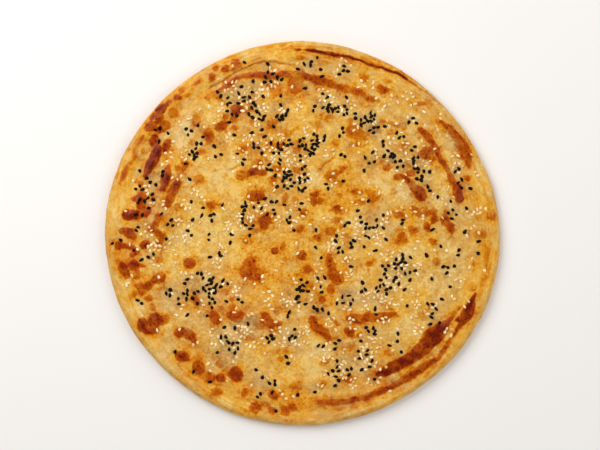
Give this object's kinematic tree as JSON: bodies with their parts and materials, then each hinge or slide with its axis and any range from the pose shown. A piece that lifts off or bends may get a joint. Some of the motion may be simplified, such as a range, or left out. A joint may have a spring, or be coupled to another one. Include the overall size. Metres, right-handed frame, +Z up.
{
  "type": "paratha flatbread",
  "caption": "Round pan-fried layered flatbread, rolled from a coiled rope of dough, with low folds near its rim, browned blisters and black and white sesame seeds.",
  "frame": {"origin": "under the middle of the bread's box, on the surface that the bread lies on", "axes": "+Z up out of the seeded side; +X along the bread's widest way across, to the right when it is seen from above; +Y away, to the top when it is seen from above"},
  "size_m": [0.2534, 0.2464, 0.0082],
  "materials": {
    "crust": "golden fried dough with darker brown scorch marks, slightly shiny from the fat",
    "black_seeds": "satin black seed hull",
    "white_seeds": "satin hulled seed, cream to toasted gold"
  },
  "bodies": {
    "root": {"bread": "crust"}
  },
  "joints": []
}
